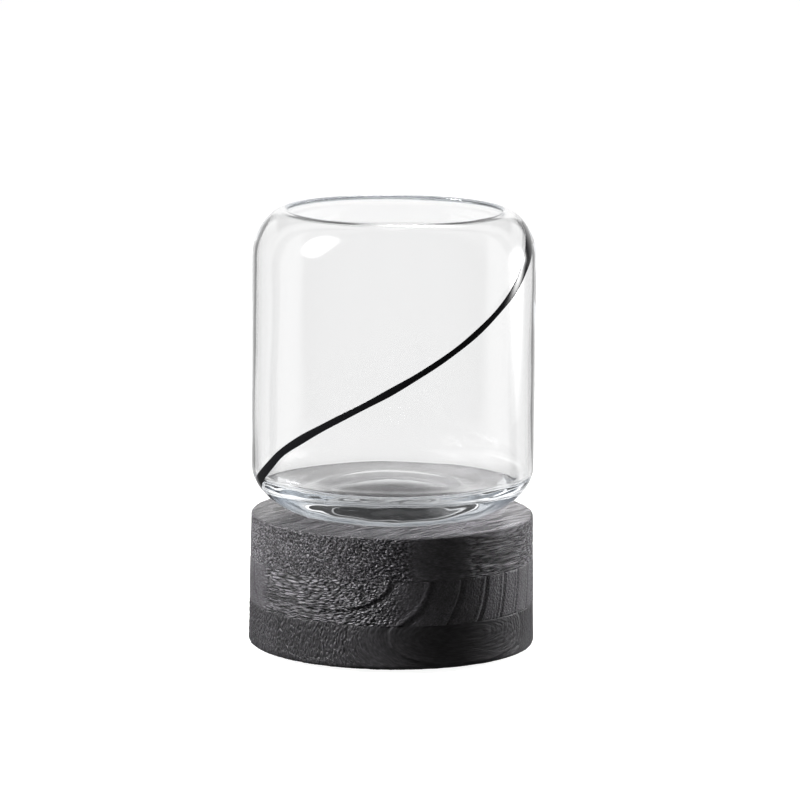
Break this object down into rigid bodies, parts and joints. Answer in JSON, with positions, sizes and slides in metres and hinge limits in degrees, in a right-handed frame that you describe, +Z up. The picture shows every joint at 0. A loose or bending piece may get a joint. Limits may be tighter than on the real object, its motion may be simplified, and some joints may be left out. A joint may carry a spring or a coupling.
{
  "type": "glass vase with wooden base",
  "caption": "Clear blown-glass vase with a drawn-in shoulder and a slanting black glass line, lifting off a turned drum of charred, brushed wood boards on rubber pads.",
  "frame": {"origin": "centre of the plane that the pads stand on", "axes": "+Z up along the vase's axis; the front, where the black line climbs from lower left to upper right, faces -Y"},
  "size_m": [0.143, 0.143, 0.22],
  "materials": {
    "clear_glass": "clear, polished, slightly uneven as hand-blown glass is",
    "black_glass": "opaque black glass, polished, melted in flush",
    "charred_wood": "charred and wire-brushed, matt, with raised grain",
    "pad_rubber": "matt"
  },
  "bodies": {
    "base": {"base_top_board": "charred_wood", "base_middle_board": "charred_wood", "base_bottom_board": "charred_wood", "foot_pad_1": "pad_rubber", "foot_pad_2": "pad_rubber", "foot_pad_3": "pad_rubber", "foot_pad_4": "pad_rubber"},
    "vase": {"glass_vessel": "clear_glass", "black_glass_trail": "black_glass"}
  },
  "joints": [
    {"name": "vase_lift", "type": "slide", "parent": "base", "child": "vase", "axis": [0, 0, 1], "range_m": [0, 0.06]}
  ]
}
